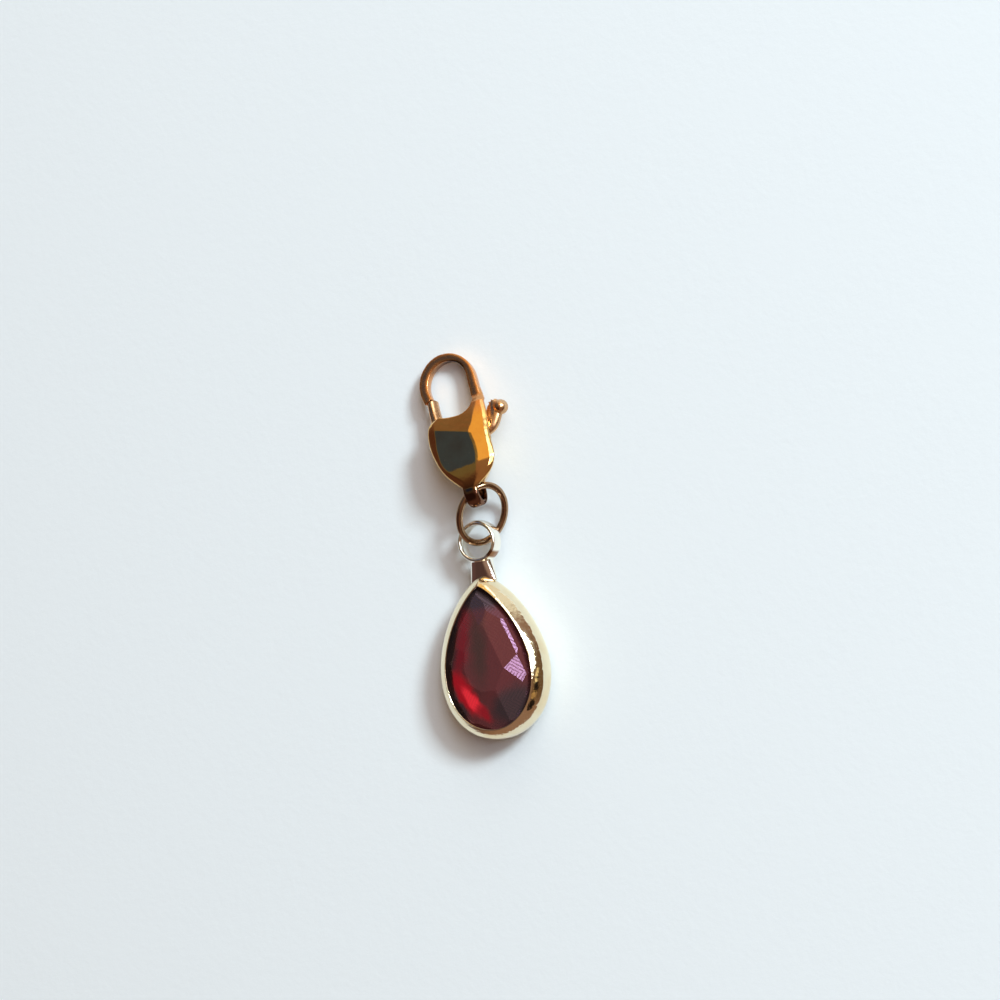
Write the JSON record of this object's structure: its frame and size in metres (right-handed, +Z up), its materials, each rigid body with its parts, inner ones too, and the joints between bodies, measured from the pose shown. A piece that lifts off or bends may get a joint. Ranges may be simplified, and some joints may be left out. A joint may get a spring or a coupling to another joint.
{
  "type": "glass drop charm",
  "caption": "Faceted red glass teardrop in a gold frame with a hanging loop, on a jump ring and a lobster clasp whose lever opens.",
  "frame": {"origin": "on the surface the charm lies on, under the middle of its outline", "axes": "+Y from the drop to the clasp's hook, +Z up out of the stone's front table"},
  "size_m": [0.0086, 0.0292, 0.0039],
  "materials": {
    "pale_gold": "pale gold plating, polished",
    "red_glass": "cut and polished, dark red",
    "gold_wire": "gold plating over drawn wire",
    "clasp_gold": "gold plating, mirror polished",
    "pin_brass": "plain drawn brass"
  },
  "bodies": {
    "charm": {"bezel": "pale_gold", "glass_drop": "red_glass", "jump_ring": "gold_wire", "clasp_body": "clasp_gold", "lever_pin": "pin_brass"},
    "lever": {"clasp_lever": "clasp_gold"}
  },
  "joints": [
    {"name": "lever_pivot", "type": "hinge", "parent": "charm", "child": "lever", "pos_m": [-0.00064, 0.00776, 0.00203], "axis": [0.0038, -0.2104, -0.9776], "range_deg": [0, 26], "stiffness_Nm_per_rad": 0.01, "springref_deg": -17.19}
  ]
}
